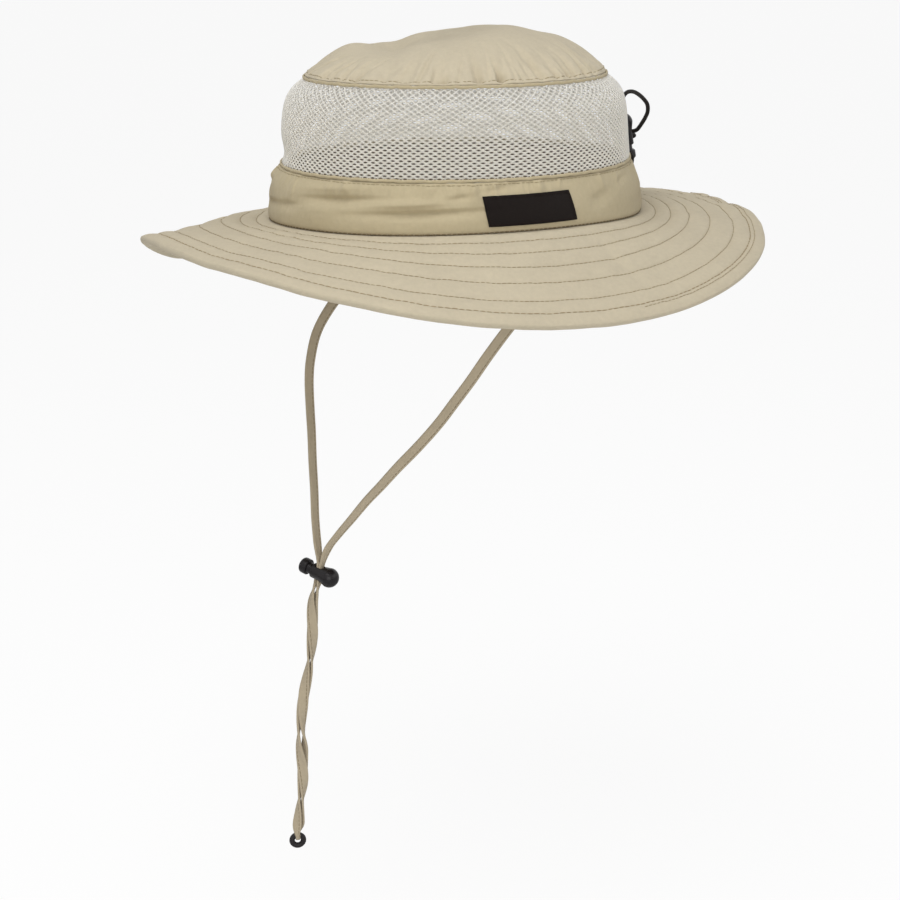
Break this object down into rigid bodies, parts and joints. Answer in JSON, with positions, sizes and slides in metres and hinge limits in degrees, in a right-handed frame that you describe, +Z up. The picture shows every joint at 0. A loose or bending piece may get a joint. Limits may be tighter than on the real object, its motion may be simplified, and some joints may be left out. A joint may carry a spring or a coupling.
{
  "type": "boonie hat",
  "caption": "Wide-brim boonie hat with a domed crown, open mesh band, stitched drooping brim, chin strap with a sliding cord lock, and a rear drawcord with its own lock.",
  "frame": {"origin": "middle of the head opening, level with the seam of crown and brim", "axes": "+Z up out of the crown, -Y to the front, +X to the wearer's left"},
  "size_m": [0.298, 0.346, 0.464],
  "materials": {
    "shell_fabric": "khaki woven nylon, soft sheen",
    "mesh_knit": "off-white open knit",
    "sweat_fabric": "khaki woven, matt",
    "interlining": "stiff nonwoven",
    "under_fabric": "khaki woven nylon, matt",
    "label_weave": "black damask weave",
    "strap_fabric": "folded khaki self fabric",
    "elastic_cord": "black braided elastic",
    "eyelet_enamel": "black enamel",
    "lock_plastic": "black moulded, satin",
    "spring_steel": "bright wire",
    "ring_rubber": "black moulded"
  },
  "bodies": {
    "hat": {"crown_tip": "shell_fabric", "tip_seam_welt": "shell_fabric", "mesh_band": "mesh_knit", "band_seam_welt": "shell_fabric", "crown_band": "shell_fabric", "sweatband": "sweat_fabric", "brim_top": "shell_fabric", "brim_interlining": "interlining", "brim_underside": "under_fabric", "side_label": "label_weave", "strap_tab_left": "strap_fabric", "strap_tab_right": "strap_fabric", "drawcord_elastic": "elastic_cord", "drawcord_eyelets": "eyelet_enamel", "drawcord_loop": "elastic_cord"},
    "chin_strap": {"chin_strap_left": "strap_fabric", "chin_strap_right": "strap_fabric", "chin_strap_tail": "strap_fabric", "chin_end_ring": "ring_rubber"},
    "chin_lock": {"chin_lock_body": "lock_plastic", "chin_lock_spring": "spring_steel"},
    "chin_plunger": {"chin_lock_plunger": "lock_plastic"},
    "rear_lock": {"rear_lock_body": "lock_plastic", "rear_lock_spring": "spring_steel"},
    "rear_plunger": {"rear_lock_plunger": "lock_plastic"}
  },
  "joints": [
    {"name": "chin_strap_swing", "type": "hinge", "parent": "hat", "child": "chin_strap", "pos_m": [0, 0.012, -0.0044], "axis": [1, 0, 0], "range_deg": [-20, 75]},
    {"name": "chin_lock_slide", "type": "slide", "parent": "chin_strap", "child": "chin_lock", "axis": [0, 0.1063, 0.9943], "range_m": [-0.12, 0.08], "deforming": ["chin_strap_left", "chin_strap_right", "chin_strap_tail"]},
    {"name": "chin_lock_press", "type": "slide", "parent": "chin_lock", "child": "chin_plunger", "axis": [0.8471, 0.4891, -0.2079], "range_m": [0, 0.003], "stiffness_N_per_m": 800, "springref_m": -0.002, "deforming": ["chin_lock_spring"]},
    {"name": "rear_lock_slide", "type": "slide", "parent": "hat", "child": "rear_lock", "axis": [0, 0.9781, 0.2079], "range_m": [0, 0.012], "deforming": ["drawcord_loop"]},
    {"name": "rear_lock_press", "type": "slide", "parent": "rear_lock", "child": "rear_plunger", "axis": [0, -0.2079, 0.9781], "range_m": [0, 0.003], "stiffness_N_per_m": 800, "springref_m": -0.002, "deforming": ["rear_lock_spring"]}
  ]
}
